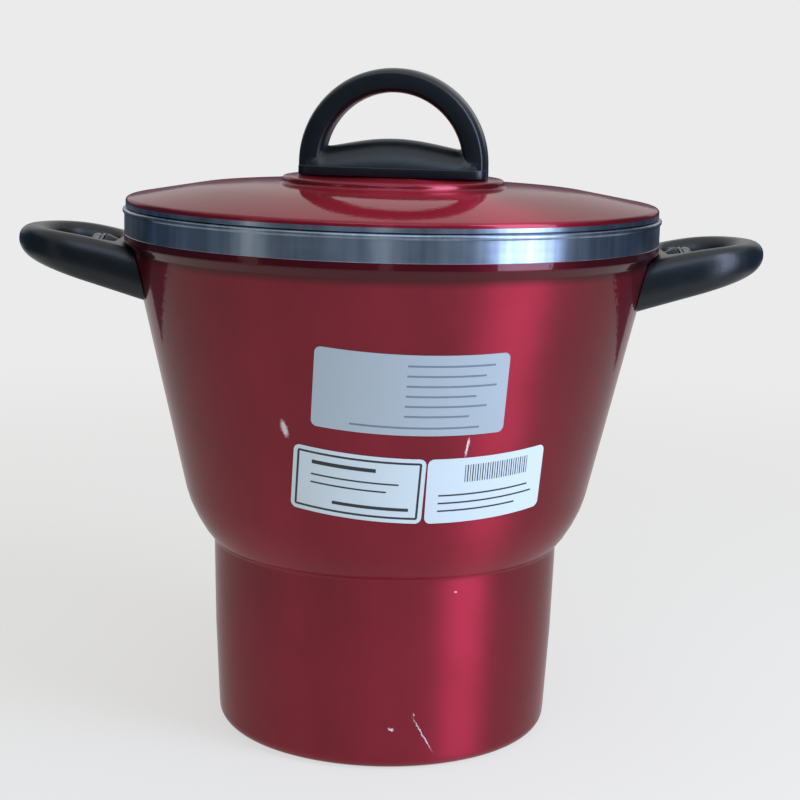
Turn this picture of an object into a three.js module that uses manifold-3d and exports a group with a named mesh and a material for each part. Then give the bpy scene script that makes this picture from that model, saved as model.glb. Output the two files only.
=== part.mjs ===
import * as THREE from 'three';
import { mergeVertices } from 'three/addons/utils/BufferGeometryUtils.js';
import Module from 'manifold-3d';

const wasm = await Module();
wasm.setup();

// A couscous steamer: lengths in millimetres, angles in degrees, standing on z = 0, handles along x.

// Clearance between pieces that touch, how far a cutter runs past what it cuts, and facet counts
const fitGap = 0.3;
const overrun = 1;
const roundFacets = 48;
const smallFacets = 12;
const cornerSteps = 2;
const beadSteps = 3;
const bendSteps = 4;
const archSteps = 9;

// Pot shell, drawn from one aluminium disc
const potWall = 1.5;
const baseRadius = 62.5;
const baseCorner = 5;
const sumpFlare = 2.4;
const sumpBelly = 1;
const creaseHeight = 70;
const creaseFillet = 2;
const shoulderRadius = 42;
const shoulderPitch = 43;
const coneTopHeight = 179.5;
const ledgeWidth = 2.75;
const ledgeRise = 2.9;
const mouthRadius = 97;
const bandHeight = 10.4;
const lipBead = 0.8;
const lipProud = 0.5;

// Steam tray, a perforated disc with a turned-down rim that stands on the inside of the shoulder
const traySheet = 1.2;
const trayReach = 3.1;
const trayRim = 4;
const trayRimCorner = 2;
const perforationRadius = 2.2;
const perforationPitch = 11.5;
const perforationMargin = 6;
const perforationSteps = 6;
const perforationSides = 6;

// Tray pull, a bent wire with headed feet
const pullWire = 1.5;
const pullSpan = 26;
const pullHeight = 22;
const pullHead = 3;
const pullHeadHeight = 1.2;

// Lid shell, a shallow dome with a raised plateau, a bare edge and a skirt inside the mouth
const lidTurn = -8;
const lidSheet = 1.2;
const lidOverhang = 0.9;
const lidEdgeHeight = 3.6;
const lidEdgeRound = 1.4;
const skirtClearance = 0.7;
const skirtDepth = 8;
const domeRise = 5.8;
const domeFlatRadius = 50;
const plateauRadius = 41;
const plateauRise = 2.6;
const plateauFillet = 1.3;

// Knob, an arch with crowned edges over a squared oval foot, whose mound rises between the legs
const knobLength = 69.6;
const knobHeight = 39.3;
const archBar = 8.8;
const archDepth = 16;
const archEdge = 2;
const archEdgeDepth = 5;
const knobFootDepth = 21;
const knobFootSide = 3.5;
const footSquareness = 6;
const moundHeight = 13.7;
const moundEndHeight = 10.3;
const moundSwell = 1.5;

// Knob screw, washer and threaded insert
const knobScrewRadius = 2.5;
const knobScrewHead = 4.8;
const knobScrewHeadHeight = 3;
const knobWasherRadius = 7;
const insertRadius = 4.5;
const insertLength = 9;

// Handle, a moulded loop that tapers to its tip: its heights are measured from the top of the cone
const rootBar = 9.7;
const fingerHoleLength = 23;
const fingerHoleEnd = 13;
const fingerHoleCorner = 5;
const tipBar = 11.1;
const sideBar = 11;
const handleHalfWidth = 27.8;
const handleEnd = 27.2;
const handleRise = 7;
const crownSetback = 2.8;
const crownRadius = 135;
const rootDrop = 16.9;
const undersideRise = 16.9;
const handleEdgeRound = 4.4;
const edgeRoundLimit = 0.42;
const handleEdgeShare = 0.46;

// Handle fixing: a riveted bracket with a threaded post, a screw and its washer
const bracketDrop = 7.5;
const bracketPlate = 2;
const bracketTall = 11;
const bracketHalfWidth = 17;
const postRadius = 4.5;
const postLength = 7;
const postTilt = 26;
const postDrop = 1;
const seatLength = 16;
const seatRadius = 6;
const handleScrewRadius = 2;
const handleScrewHead = 4.6;
const handleScrewHeadHeight = 2.8;
const handleScrewGrip = 4;
const handleWasherRadius = 5.4;
const washerThickness = 1;
const rivetRadius = 2.4;
const rivetHead = 4.6;
const rivetHeadHeight = 1.9;
const rivetSpread = 11;
const pocketRoom = 0.8;

// Screw and rivet heads: flat share of a head's radius, rounded share of its height, and the driver slot
const headFlatShare = 0.65;
const headCrownShare = 0.5;
const slotWidth = 1.2;
const slotDepth = 1.1;

// Small tools for profiles and solids

const degrees = THREE.MathUtils.degToRad;

function point(x, y) {
  return new THREE.Vector2(x, y);
}

// Points of a round bend; a pitch is the heading's angle from upright, and a negative radius bends inward
function bend(centre, radius, fromPitch, toPitch, steps) {
  const points = [];
  for (let i = 0; i <= steps; i += 1) {
    const pitch = THREE.MathUtils.lerp(fromPitch, toPitch, i / steps);
    points.push(point(centre.x + radius * Math.cos(pitch), centre.y - radius * Math.sin(pitch)));
  }
  return points;
}

// The same line moved sideways to its left, with mitred corners
function offsetLine(line, distance) {
  return line.map((here, i) => {
    const before = line[Math.max(i - 1, 0)];
    const after = line[Math.min(i + 1, line.length - 1)];
    const arriving = i > 0 ? here.clone().sub(before).normalize() : after.clone().sub(here).normalize();
    const leaving = i < line.length - 1 ? after.clone().sub(here).normalize() : arriving;
    const share = distance / (1 + arriving.dot(leaving));
    return point(here.x - share * (arriving.y + leaving.y), here.y + share * (arriving.x + leaving.x));
  });
}

// Height of a rising profile where it reaches a radius
function heightAt(profile, radius) {
  const i = profile.findIndex((p, k) => k > 0 && profile[k - 1].x < radius && p.x >= radius);
  const low = profile[i - 1];
  const high = profile[i];
  return THREE.MathUtils.lerp(low.y, high.y, (radius - low.x) / (high.x - low.x));
}

// A profile of radius and height turned round the z axis
function revolve(profile, facets = roundFacets) {
  return new THREE.LatheGeometry(profile, facets).rotateX(Math.PI / 2);
}

function revolveRing(profile, facets = roundFacets) {
  return revolve([...profile, profile[0]], facets);
}

function solid(geometry) {
  const bare = geometry.clone();
  bare.deleteAttribute('normal');
  bare.deleteAttribute('uv');
  const merged = mergeVertices(bare);
  const index = merged.index.array;
  const triVerts = [];
  for (let i = 0; i < index.length; i += 3) {
    const [a, b, c] = index.slice(i, i + 3);
    if (a !== b && b !== c && c !== a) {
      triVerts.push(a, b, c);
    }
  }
  const mesh = new wasm.Mesh({
    numProp: 3,
    vertProperties: new Float32Array(merged.attributes.position.array),
    triVerts: new Uint32Array(triVerts),
  });
  return new wasm.Manifold(mesh);
}

function geometryOf(body) {
  const mesh = body.getMesh();
  const geometry = new THREE.BufferGeometry();
  geometry.setAttribute('position', new THREE.BufferAttribute(new Float32Array(mesh.vertProperties), 3));
  geometry.setIndex(Array.from(mesh.triVerts));
  const faceted = geometry.toNonIndexed();
  faceted.computeVertexNormals();
  return faceted;
}

function box(lowest, highest) {
  const size = highest.map((value, i) => value - lowest[i]);
  const centre = highest.map((value, i) => (value + lowest[i]) / 2);
  return new THREE.BoxGeometry(...size).translate(...centre);
}

function finish(color, roughness, metalness) {
  return new THREE.MeshStandardMaterial({ color, roughness, metalness });
}

function piece(name, body, material) {
  const mesh = new THREE.Mesh(geometryOf(body), material);
  mesh.name = name;
  return mesh;
}

const redPaint = () => finish('#9c1f38', 0.25, 0.4);
const bareAluminium = () => finish('#b9bfc6', 0.35, 1);
const blackBakelite = () => finish('#1b2022', 0.35, 0);
const zincSteel = () => finish('#a9adb0', 0.4, 1);
const brass = () => finish('#b08d4a', 0.4, 1);

// Pot shell profile

const bandRadius = mouthRadius + potWall;
const coneTopRadius = bandRadius - ledgeWidth;
const sumpTopRadius = baseRadius + sumpFlare;
const bandBottom = coneTopHeight + ledgeRise;
const bandTop = bandBottom + bandHeight;
const lipTop = bandTop + 2 * lipBead;

const wallFoot = point(baseRadius, baseCorner);
const wallHead = point(sumpTopRadius, creaseHeight);
const wallPull = point((baseRadius + sumpTopRadius) / 2 + sumpBelly, (baseCorner + creaseHeight) / 2);
const wallPitch = Math.atan2(wallHead.x - wallPull.x, wallHead.y - wallPull.y);
const shoulderStartPitch = degrees(shoulderPitch);
const [creaseCentre] = bend(wallHead, creaseFillet, wallPitch, wallPitch, 1);
const crease = bend(creaseCentre, -creaseFillet, wallPitch, shoulderStartPitch, cornerSteps);
const shoulderStart = crease[crease.length - 1];
const [shoulderCentre] = bend(shoulderStart, -shoulderRadius, shoulderStartPitch, shoulderStartPitch, 1);
const coneTop = point(coneTopRadius, coneTopHeight);
const toConeTop = coneTop.clone().sub(shoulderCentre);
const conePitch = Math.atan2(toConeTop.x, toConeTop.y) - Math.asin(shoulderRadius / toConeTop.length());
const shoulder = bend(shoulderCentre, shoulderRadius, shoulderStartPitch, conePitch, bendSteps);

const potOutside = [
  point(0, 0),
  ...bend(point(baseRadius - baseCorner, baseCorner), baseCorner, Math.PI / 2, 0, beadSteps),
  ...new THREE.QuadraticBezierCurve(wallFoot, wallPull, wallHead).getPoints(cornerSteps).slice(1),
  ...crease.slice(1),
  ...shoulder.slice(1),
  coneTop,
  point(bandRadius, bandBottom),
  point(bandRadius, bandTop),
];
const potInside = offsetLine(potOutside, potWall);
const lipCentre = point(bandRadius + lipProud - lipBead, bandTop + lipBead);
const lipRound = bend(lipCentre, lipBead, Math.PI / 2, -Math.PI / 2, cornerSteps);
const lip = [...lipRound, point(mouthRadius, lipTop)];

function coneRadius(height) {
  return coneTopRadius - (coneTopHeight - height) * Math.tan(conePitch);
}

// A sector of the cone's wall between two stand-offs, as wide and tall as asked
function wallSector(near, far, halfWidth, lowest, highest) {
  const ring = revolveRing([
    point(coneRadius(lowest) + near, lowest),
    point(coneRadius(lowest) + far, lowest),
    point(coneRadius(highest) + far, highest),
    point(coneRadius(highest) + near, highest),
  ]);
  const reach = coneRadius(highest) + far + overrun;
  const window = box([0, -halfWidth, lowest - overrun], [reach, halfWidth, highest + overrun]);
  return solid(ring).intersect(solid(window));
}

// The space inside the cone's outer face with its clearance, between two heights
function coneCore(lowest, highest) {
  return solid(revolve([
    point(0, lowest),
    point(coneRadius(lowest) + fitGap, lowest),
    point(coneRadius(highest) + fitGap, highest),
    point(0, highest),
  ]));
}

// A turned piece whose axis leaves the wall at a height: the profile gives radius and distance from the wall
function onWall(profile, height, tilt, azimuth = 0) {
  const turned = revolve(profile, smallFacets).rotateY(Math.PI / 2 - tilt);
  return turned.translate(coneRadius(height), 0, height).rotateZ(azimuth);
}

function rod(radius, from, to) {
  return [point(0, from), point(radius, from), point(radius, to), point(0, to)];
}

function ringProfile(inner, outer, from, to) {
  const corners = [point(inner, from), point(outer, from), point(outer, to), point(inner, to)];
  return [...corners, corners[0]];
}

// Rivets stand square to the cone's wall, one each side of the post
const bracketHeight = coneTopHeight - bracketDrop;
const rivetAngle = Math.asin(rivetSpread / coneRadius(bracketHeight));
const rivetAngles = [-rivetAngle, rivetAngle];
const rivetPlateFace = 2 * fitGap + bracketPlate;

function rivetHole(azimuth) {
  const reach = potWall + bracketPlate + rivetHead;
  return solid(onWall(rod(rivetRadius + fitGap, -reach, reach), bracketHeight, -conePitch, azimuth));
}

function rivet(azimuth) {
  const inner = -potWall - fitGap;
  const innerTop = inner - rivetHeadHeight;
  const outerTop = rivetPlateFace + rivetHeadHeight;
  return solid(onWall([
    point(0, innerTop),
    point(rivetHead * headFlatShare, innerTop),
    point(rivetHead, inner - rivetHeadHeight * headCrownShare),
    point(rivetHead, inner),
    point(rivetRadius, inner),
    point(rivetRadius, rivetPlateFace),
    point(rivetHead, rivetPlateFace),
    point(rivetHead, rivetPlateFace + rivetHeadHeight * headCrownShare),
    point(rivetHead * headFlatShare, outerTop),
    point(0, outerTop),
  ], bracketHeight, -conePitch, azimuth));
}

function potShell() {
  const inside = potInside.slice().reverse();
  let shell = solid(revolve([...potOutside, ...lip.slice(1), ...inside]));
  for (const side of [0, Math.PI]) {
    for (const azimuth of rivetAngles) {
      shell = shell.subtract(rivetHole(side + azimuth));
    }
  }
  return shell;
}

// Handle pieces, made on the +x side

const postHeight = bracketHeight - postDrop;
const tilt = degrees(postTilt);
const bracketLow = bracketHeight - bracketTall / 2;
const bracketHigh = bracketHeight + bracketTall / 2;
const plateFar = fitGap + bracketPlate;
const washerNear = seatLength + fitGap;
const handleHeadNear = washerNear + washerThickness + fitGap;

function handleBracket() {
  const post = solid(onWall(rod(postRadius, 0, postLength), postHeight, tilt));
  const threadFrom = postLength - handleScrewGrip - fitGap;
  const thread = rod(handleScrewRadius + fitGap, threadFrom, postLength + overrun);
  const freePost = post.subtract(coneCore(bracketLow - bracketTall, bracketHigh + bracketTall));
  const plate = wallSector(fitGap, plateFar, bracketHalfWidth, bracketLow, bracketHigh);
  let bracket = plate.add(freePost).subtract(solid(onWall(thread, postHeight, tilt)));
  for (const azimuth of rivetAngles) {
    bracket = bracket.subtract(rivetHole(azimuth));
  }
  return bracket;
}

// A slotted screw along +z, from its point to the underside and face of its head
function slottedScrew(radius, headRadius, tip, headUnder, headHeight) {
  const headFace = headUnder + headHeight;
  const screw = solid(revolve([
    point(0, tip),
    point(radius, tip),
    point(radius, headUnder),
    point(headRadius, headUnder),
    point(headRadius, headFace - headHeight * headCrownShare),
    point(headRadius * headFlatShare, headFace),
    point(0, headFace),
  ], smallFacets));
  const slotLow = [-headRadius, -slotWidth / 2, headFace - slotDepth];
  const slotHigh = [headRadius, slotWidth / 2, headFace + overrun];
  return screw.subtract(solid(box(slotLow, slotHigh)));
}

function handleScrew() {
  const tip = postLength - handleScrewGrip;
  const screw = slottedScrew(handleScrewRadius, handleScrewHead, tip, handleHeadNear, handleScrewHeadHeight);
  return screw.rotate([0, 90 - postTilt, 0]).translate([coneRadius(postHeight), 0, postHeight]);
}

function handleWasher() {
  const bore = handleScrewRadius + fitGap;
  const profile = ringProfile(bore, handleWasherRadius, washerNear, washerNear + washerThickness);
  return solid(onWall(profile, postHeight, tilt));
}

const fingerHoleRoot = coneRadius(bracketHeight) + rootBar;
const fingerHoleTip = fingerHoleRoot + fingerHoleLength;
const handleTip = fingerHoleTip + tipBar;
const fingerHoleHalf = handleHalfWidth - sideBar;
const edgeRound = Math.min(handleEdgeRound, edgeRoundLimit * Math.min(sideBar, tipBar));
const rootBottom = coneTopHeight - rootDrop;

// The handle's upper curve crowns short of the tip, and its underside rises straight from the wall
function handleTopAt(x) {
  return coneTopHeight + handleRise - (x - handleTip + crownSetback) ** 2 / (2 * crownRadius);
}

function handleBottomAt(x) {
  return rootBottom + (x - coneRadius(rootBottom)) * Math.tan(degrees(undersideRise));
}

// The loop is cut from a flat slab with rounded edges, then bent between its lower and upper curves
function handleLoop() {
  const root = coneRadius(rootBottom) - 2 * edgeRound;
  const endCentre = handleTip - handleEnd;
  const outline = new THREE.Shape();
  outline.moveTo(root, -handleHalfWidth);
  outline.lineTo(endCentre, -handleHalfWidth);
  outline.absellipse(endCentre, 0, handleEnd, handleHalfWidth, -Math.PI / 2, Math.PI / 2);
  outline.lineTo(root, handleHalfWidth);
  outline.closePath();

  const holeEndCentre = fingerHoleTip - fingerHoleEnd;
  const cornerX = fingerHoleRoot + fingerHoleCorner;
  const cornerY = fingerHoleHalf - fingerHoleCorner;
  const hole = new THREE.Path();
  hole.moveTo(cornerX, -fingerHoleHalf);
  hole.lineTo(holeEndCentre, -fingerHoleHalf);
  hole.absellipse(holeEndCentre, 0, fingerHoleEnd, fingerHoleHalf, -Math.PI / 2, Math.PI / 2);
  hole.lineTo(cornerX, fingerHoleHalf);
  hole.absarc(cornerX, cornerY, fingerHoleCorner, Math.PI / 2, Math.PI);
  hole.lineTo(fingerHoleRoot, -cornerY);
  hole.absarc(cornerX, -cornerY, fingerHoleCorner, Math.PI, 1.5 * Math.PI);
  outline.holes.push(hole);

  const slab = new THREE.ExtrudeGeometry(outline, {
    depth: 1 - 2 * handleEdgeShare,
    bevelThickness: handleEdgeShare,
    bevelSize: edgeRound,
    bevelOffset: -edgeRound,
    bevelSegments: cornerSteps,
    curveSegments: bendSteps + 1,
  }).translate(0, 0, handleEdgeShare);
  const corner = slab.attributes.position;
  for (let i = 0; i < corner.count; i += 1) {
    const x = corner.getX(i);
    corner.setZ(i, THREE.MathUtils.lerp(handleBottomAt(x), handleTopAt(x), corner.getZ(i)));
  }
  return slab;
}

function handle() {
  const pocketFar = rivetPlateFace + rivetHeadHeight + pocketRoom;
  const pocketHalf = bracketHalfWidth + pocketRoom;
  const pocketLow = bracketLow - pocketRoom;
  const pocketHigh = bracketHigh + pocketRoom;
  return solid(handleLoop())
    .add(solid(onWall(rod(seatRadius, 0, seatLength), postHeight, tilt)))
    .subtract(solid(revolve([...offsetLine(potOutside, -fitGap), point(0, bandTop)])))
    .subtract(wallSector(0, pocketFar, pocketHalf, pocketLow, pocketHigh))
    .subtract(solid(onWall(rod(postRadius + fitGap, 0, postLength + fitGap), postHeight, tilt)))
    .subtract(solid(onWall(rod(handleScrewRadius + fitGap, 0, seatLength + overrun), postHeight, tilt)));
}

// Lid pieces, made round the z axis

const lidEdgeRadius = mouthRadius + lidOverhang;
const flangeUnder = lipTop + fitGap;
const edgeTop = flangeUnder + lidEdgeHeight;
const skirtOuter = mouthRadius - skirtClearance;
const skirtInner = skirtOuter - lidSheet;
const lidHole = knobScrewRadius + fitGap;
const domeEdge = lidEdgeRadius - lidEdgeRound;
const domeRun = domeEdge - domeFlatRadius;
const domeRadius = (domeRun ** 2 + domeRise ** 2) / (2 * domeRise);
const domeTop = edgeTop + domeRise;
const plateauTop = domeTop + plateauRise;

// The dome's upper face from the plateau's centre outward
function domeLine() {
  const stepCentre = point(plateauRadius - plateauFillet, plateauTop - plateauFillet);
  const stepTop = bend(stepCentre, plateauFillet, -Math.PI / 2, 0, cornerSteps);
  const stepFoot = point(plateauRadius + plateauFillet, domeTop);
  const edgePitch = Math.asin(domeRun / domeRadius);
  const domeCentre = point(domeFlatRadius, domeTop - domeRadius);
  const dome = bend(domeCentre, domeRadius, -Math.PI / 2, edgePitch - Math.PI / 2, bendSteps);
  return [point(lidHole, plateauTop), ...stepTop, stepFoot, ...dome];
}

function lidShell() {
  const upper = domeLine();
  const under = offsetLine(upper, -lidSheet).filter((p) => p.x < skirtInner);
  const underReach = skirtInner - domeFlatRadius;
  const underSkirt = domeTop - domeRadius + Math.sqrt((domeRadius - lidSheet) ** 2 - underReach ** 2);
  const skirtFoot = flangeUnder - skirtDepth;
  const outside = [
    point(skirtOuter, skirtFoot),
    point(skirtOuter, flangeUnder),
    point(lidEdgeRadius, flangeUnder),
    point(lidEdgeRadius, edgeTop - lidEdgeRound / 2),
  ];
  const inside = [point(skirtInner, underSkirt), point(skirtInner, skirtFoot)];
  return solid(revolveRing([...outside, ...upper.slice().reverse(), ...under, ...inside]));
}

// Knob pieces stand on the plateau

const knobBottom = plateauTop + fitGap;
const insertBottom = knobBottom + fitGap;
const knobWasherTop = plateauTop - lidSheet - fitGap;
const knobHeadTop = knobWasherTop - washerThickness - fitGap;
const insertTop = insertBottom + insertLength;

function knobArch() {
  const outer = knobLength / 2;
  const inner = outer - archBar;
  const springing = knobHeight - outer;
  const outline = new THREE.Shape();
  outline.moveTo(outer, 0);
  outline.lineTo(outer, springing);
  outline.absarc(0, springing, outer, 0, Math.PI);
  outline.lineTo(-outer, 0);
  outline.lineTo(-inner, 0);
  outline.lineTo(-inner, springing);
  outline.absarc(0, springing, inner, Math.PI, 0, true);
  outline.lineTo(inner, 0);
  outline.closePath();
  const arch = new THREE.ExtrudeGeometry(outline, {
    depth: archDepth - 2 * archEdgeDepth,
    bevelThickness: archEdgeDepth,
    bevelSize: archEdge,
    bevelOffset: -archEdge,
    bevelSegments: cornerSteps,
    curveSegments: archSteps,
  });
  return arch.translate(0, 0, archEdgeDepth - archDepth / 2).rotateX(Math.PI / 2).translate(0, 0, knobBottom);
}

// Height of the mound's ridge, which dips to each leg of the arch
function ridgeAt(x) {
  const share = Math.min(Math.abs(x) / (knobLength / 2 - archBar), 1);
  return THREE.MathUtils.lerp(moundEndHeight, moundHeight, (1 - share ** 2) ** moundSwell);
}

// The third side of a squared right triangle whose long side is 1
function squaredLeg(other) {
  return Math.max(1 - Math.abs(other) ** footSquareness, 0) ** (1 / footSquareness);
}

// A turned dome is squared off in plan, and each point of its top is set to the ridge's rounded section
function knobFoot() {
  const half = knobLength / 2;
  const deep = knobFootDepth / 2;
  const dome = bend(point(0, knobFootSide), 1, 0, -Math.PI / 2, bendSteps);
  const foot = revolve([point(0, 0), point(1, 0), ...dome], 2 * smallFacets);
  const corner = foot.attributes.position;
  for (let i = 0; i < corner.count; i += 1) {
    const across = corner.getX(i);
    const along = corner.getY(i);
    const squared = (Math.abs(across) ** footSquareness + Math.abs(along) ** footSquareness) ** (1 / footSquareness);
    const stretch = Math.hypot(across, along) / squared || 1;
    const x = across * stretch;
    const y = along * stretch;
    const fall = Math.min(Math.abs(y) / (squaredLeg(x) || 1), 1);
    const top = THREE.MathUtils.lerp(knobFootSide, ridgeAt(x * half), Math.sqrt(1 - fall ** 2));
    corner.setXYZ(i, x * half, y * deep, corner.getZ(i) > knobFootSide ? top : corner.getZ(i));
  }
  return foot.translate(0, 0, knobBottom);
}

function upright(profile) {
  return solid(revolve(profile, smallFacets));
}

function lidKnob() {
  const pocket = rod(insertRadius + fitGap, knobBottom - overrun, insertTop + fitGap);
  return solid(knobArch()).add(solid(knobFoot())).subtract(upright(pocket));
}

function knobInsert() {
  return upright(ringProfile(knobScrewRadius + fitGap, insertRadius, insertBottom, insertTop));
}

function knobWasher() {
  return upright(ringProfile(lidHole, knobWasherRadius, knobWasherTop - washerThickness, knobWasherTop));
}

// The knob's screw points up, so it is turned over from its drawing
function knobScrew() {
  const tip = fitGap - insertTop;
  const screw = slottedScrew(knobScrewRadius, knobScrewHead, tip, -knobHeadTop, knobScrewHeadHeight);
  return screw.rotate([180, 0, 0]);
}

// Tray pieces

const trayRadius = sumpTopRadius + trayReach;
const trayFoot = heightAt(potInside, trayRadius) + fitGap;
const trayTop = trayFoot + trayRim;
const trayUnder = trayTop - traySheet;
const pullHole = pullWire + fitGap;

function steamTray() {
  const corner = point(trayRadius - trayRimCorner, trayTop - trayRimCorner);
  const inCorner = trayRimCorner - traySheet;
  const blank = solid(revolve([
    point(0, trayUnder),
    ...bend(corner, inCorner, -Math.PI / 2, 0, 1),
    point(trayRadius - traySheet, trayFoot),
    point(trayRadius, trayFoot),
    ...bend(corner, trayRimCorner, 0, -Math.PI / 2, cornerSteps),
    point(0, trayTop),
  ]));
  const drill = revolve(rod(perforationRadius, trayUnder - trayRim, trayTop + trayRim), perforationSides);
  const field = trayRadius - traySheet - perforationMargin;
  const drills = [];
  for (let ring = 1; ring * perforationPitch < field; ring += 1) {
    const count = perforationSteps * ring;
    for (let i = 0; i < count; i += 1) {
      const turn = (2 * Math.PI * (i + 0.5)) / count;
      drills.push(solid(drill.clone().translate(ring * perforationPitch, 0, 0).rotateZ(turn)));
    }
  }
  for (const side of [-1, 1]) {
    const hole = rod(pullHole, trayUnder - trayRim, trayTop + trayRim);
    drills.push(upright(hole).translate([side * pullSpan / 2, 0, 0]));
  }
  return blank.subtract(wasm.Manifold.union(drills));
}

function trayPull() {
  const half = pullSpan / 2;
  const foot = trayUnder - fitGap - pullHeadHeight / 2;
  const springing = trayTop + pullHeight - half;
  const route = [new THREE.Vector3(half, 0, foot)];
  for (let i = 0; i <= archSteps; i += 1) {
    const turn = (Math.PI * i) / archSteps;
    route.push(new THREE.Vector3(half * Math.cos(turn), 0, springing + half * Math.sin(turn)));
  }
  route.push(new THREE.Vector3(-half, 0, foot));
  const wire = new THREE.ExtrudeGeometry(new THREE.Shape().absarc(0, 0, pullWire, 0, 2 * Math.PI), {
    extrudePath: new THREE.CatmullRomCurve3(route),
    steps: 2 * archSteps,
    curveSegments: smallFacets / 4,
    bevelEnabled: false,
  });
  let pull = solid(wire);
  for (const side of [-half, half]) {
    const head = rod(pullHead, foot - pullHeadHeight / 2, foot + pullHeadHeight / 2);
    pull = pull.add(upright(head).translate([side, 0, 0]));
  }
  return pull;
}

// The assembly

const steamer = new THREE.Group();
steamer.add(piece('pot_shell', potShell(), redPaint()));

for (const [side, turn] of Object.entries({ right: 0, left: Math.PI })) {
  const fixing = new THREE.Group();
  fixing.rotation.z = turn;
  fixing.add(piece(`handle_${side}`, handle(), blackBakelite()));
  fixing.add(piece(`handle_bracket_${side}`, handleBracket(), zincSteel()));
  fixing.add(piece(`handle_screw_${side}`, handleScrew(), zincSteel()));
  fixing.add(piece(`handle_washer_${side}`, handleWasher(), zincSteel()));
  rivetAngles.forEach((azimuth, i) => {
    fixing.add(piece(`handle_rivet_${side}_${i + 1}`, rivet(azimuth), bareAluminium()));
  });
  steamer.add(fixing);
}

const lid = new THREE.Group();
lid.rotation.z = degrees(lidTurn);
lid.add(piece('lid_shell', lidShell(), redPaint()));
lid.add(piece('lid_knob', lidKnob(), blackBakelite()));
lid.add(piece('knob_insert', knobInsert(), brass()));
lid.add(piece('knob_screw', knobScrew(), zincSteel()));
lid.add(piece('knob_washer', knobWasher(), zincSteel()));
steamer.add(lid);

const tray = new THREE.Group();
tray.add(piece('steam_tray', steamTray(), bareAluminium()));
tray.add(piece('tray_pull', trayPull(), bareAluminium()));
steamer.add(tray);

export default steamer;
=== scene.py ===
import math

import bmesh
import bpy
from mathutils import Matrix, Vector


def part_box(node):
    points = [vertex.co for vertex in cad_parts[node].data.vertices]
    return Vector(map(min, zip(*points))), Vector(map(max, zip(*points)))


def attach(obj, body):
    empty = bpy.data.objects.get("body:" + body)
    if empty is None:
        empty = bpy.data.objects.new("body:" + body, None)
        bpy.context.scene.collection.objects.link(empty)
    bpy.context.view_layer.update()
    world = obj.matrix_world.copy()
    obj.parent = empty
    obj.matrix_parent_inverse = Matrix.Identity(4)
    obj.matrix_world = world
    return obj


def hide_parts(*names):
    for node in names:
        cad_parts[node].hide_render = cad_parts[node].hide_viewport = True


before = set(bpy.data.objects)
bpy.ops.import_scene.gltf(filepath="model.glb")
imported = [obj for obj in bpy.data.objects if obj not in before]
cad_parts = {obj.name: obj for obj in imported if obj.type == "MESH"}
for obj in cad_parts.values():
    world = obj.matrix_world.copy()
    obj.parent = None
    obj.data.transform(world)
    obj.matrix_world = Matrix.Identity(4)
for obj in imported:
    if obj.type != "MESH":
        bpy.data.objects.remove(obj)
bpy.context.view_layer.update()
mm = 0.001  # sizes below are in millimetres, except for lamps and the floor
scene = bpy.context.scene
print("frame loaded:", len(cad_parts), "nodes")


def around(azimuth, radius, height):  # a place round the pot: azimuth 0 is the camera's side, 90 the right
    angle = math.radians(azimuth)
    return Vector((radius * math.sin(angle), -radius * math.cos(angle), height))


# Shader tools

def linear(hexColour):  # an sRGB hex value as linear colour
    shares = [int(hexColour[i:i + 2], 16) / 255 for i in (1, 3, 5)]
    return [s / 12.92 if s <= 0.04045 else ((s + 0.055) / 1.055) ** 2.4 for s in shares] + [1.0]


def setInputs(tree, node, inputs):  # values and links by socket name or number
    for socket, value in inputs.items():
        if isinstance(value, bpy.types.NodeSocket):
            tree.links.new(value, node.inputs[socket])
        else:
            node.inputs[socket].default_value = value


def addNode(tree, kind, inputs=None, **settings):  # a node with its settings, values and links
    node = tree.nodes.new(kind)
    for name, value in settings.items():
        setattr(node, name, value)
    setInputs(tree, node, inputs or {})
    return node


def newMaterial(name):
    material = bpy.data.materials.new(name)
    material.use_nodes = True
    return material, material.node_tree, material.node_tree.nodes["Principled BSDF"]


# Materials

lacquerLook = dict(deep="#7e1424", light="#961d33", cloud=26, edge="#b98f95", metal=0.85, roughness=0.47,
                   brushing=0.9, coat=0.45, coatRoughness=0.06, peel=1.6, peelStrength=0.03, peelHeight=1,
                   # painted shade: the keys on the next line darken the paint in a strip under the band
                   paintedShadeUnderBand="#2e0a10", shadeHeight=182.5, shadeCore=3, shadeReach=6, shadeShare=0.75,
                   bare="#d8c6ca", bareMetal=0.3, grit=0.7, ragged=1.4, markCore=0.6, markEdge=1.2,
                   markDepth=5)
# the first three marks are painted glints, pale spots that stand in for lamp light on the paint; the last
# three are real nicks and a scratch
scuffsAndGlints = (dict(azimuth=-24.2, radius=83.8, height=127, wide=2.4, tall=6.4, lean=-14),
          dict(azimuth=19.6, radius=82.7, height=122.4, wide=0.9, tall=7, lean=6),
          dict(azimuth=23.7, radius=64.8, height=66.6, wide=0.8, tall=0.8, lean=0),
          dict(azimuth=4, radius=63.3, height=16.5, wide=2.4, tall=1.1, lean=20),
          dict(azimuth=11.3, radius=63.7, height=22, wide=0.9, tall=0.9, lean=0),
          dict(azimuth=14.5, radius=63.1, height=14.1, wide=0.5, tall=15, lean=-30))


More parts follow.
